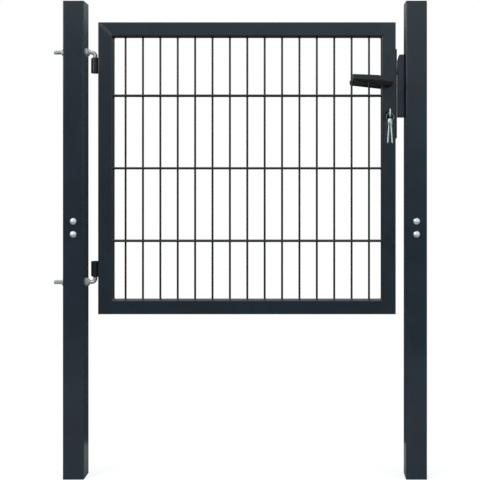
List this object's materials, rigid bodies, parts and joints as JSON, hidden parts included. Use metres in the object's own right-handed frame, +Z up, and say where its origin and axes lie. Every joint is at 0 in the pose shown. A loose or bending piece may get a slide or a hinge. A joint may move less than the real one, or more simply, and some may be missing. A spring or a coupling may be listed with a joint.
{
  "type": "mesh panel garden gate",
  "caption": "Garden gate leaf of square tube with a welded wire mat, hung between square posts on threaded hinge rods, with lever handle, latch, keeper and keys.",
  "frame": {"origin": "centre of the hinge post's open lower end, at ground level", "axes": "+Z up along the posts, +X from the hinge post to the latch post, +Y away from the side where the key hangs"},
  "size_m": [1.068, 0.1254, 1.362],
  "materials": {
    "post_paint": "satin anthracite powder coat",
    "leaf_paint": "satin anthracite powder coat",
    "wire_paint": "satin anthracite powder coat on galvanised wire",
    "cap_plastic": "moulded black plastic",
    "sleeve_paint": "black powder coat",
    "zinc_steel": "bright zinc plate",
    "lever_plastic": "fine-grained black plastic",
    "lock_steel": "zinc-plated steel",
    "face_paint": "dark coated steel",
    "cylinder_nickel": "dark nickel-plated brass",
    "key_nickel": "nickel-plated brass"
  },
  "bodies": {
    "posts": {"hinge_post": "post_paint", "latch_post": "post_paint", "hinge_post_cap": "cap_plastic", "latch_post_cap": "cap_plastic", "hinge_post_bolts": "zinc_steel", "latch_post_bolts": "zinc_steel", "upper_hinge_rod": "zinc_steel", "lower_hinge_rod": "zinc_steel", "hinge_washers": "zinc_steel", "hinge_nuts": "zinc_steel", "keeper": "leaf_paint", "keeper_screws": "zinc_steel"},
    "leaf": {"top_rail": "leaf_paint", "bottom_rail": "leaf_paint", "hinge_stile": "leaf_paint", "latch_stile": "leaf_paint", "wire_mat": "wire_paint", "upper_hinge_sleeve": "sleeve_paint", "lower_hinge_sleeve": "sleeve_paint", "face_plate": "face_paint", "face_plate_screws": "zinc_steel", "lock_case": "lock_steel", "dead_bolt": "lock_steel", "key_cylinder": "cylinder_nickel", "front_rose": "lever_plastic", "back_rose": "lever_plastic", "door_key": "key_nickel"},
    "handle": {"front_lever": "lever_plastic", "back_lever": "lever_plastic", "spindle": "lock_steel"},
    "latch": {"latch_bolt": "lock_steel"},
    "key_bunch": {"key_ring": "zinc_steel", "spare_keys": "key_nickel"}
  },
  "joints": [
    {"name": "leaf_swing", "type": "hinge", "parent": "posts", "child": "leaf", "pos_m": [0.056, 0, 0.885], "axis": [0, 0, 1], "range_deg": [0, 90]},
    {"name": "handle_turn", "type": "hinge", "parent": "leaf", "child": "handle", "pos_m": [0.898, 0, 1.128], "axis": [0, -1, 0], "range_deg": [0, 40], "stiffness_Nm_per_rad": 0.8, "springref_deg": -20.05},
    {"name": "latch_slide", "type": "slide", "parent": "leaf", "child": "latch", "axis": [-1, 0, 0], "range_m": [0, 0.011]},
    {"name": "ring_swing", "type": "hinge", "parent": "leaf", "child": "key_bunch", "pos_m": [0.898, -0.054, 1.0392], "axis": [1, 0, 0], "range_deg": [-60, 15]}
  ],
  "couplings": [
    {"joint": "latch_slide", "follows": "handle_turn", "m_per_rad": 0.01575}
  ]
}
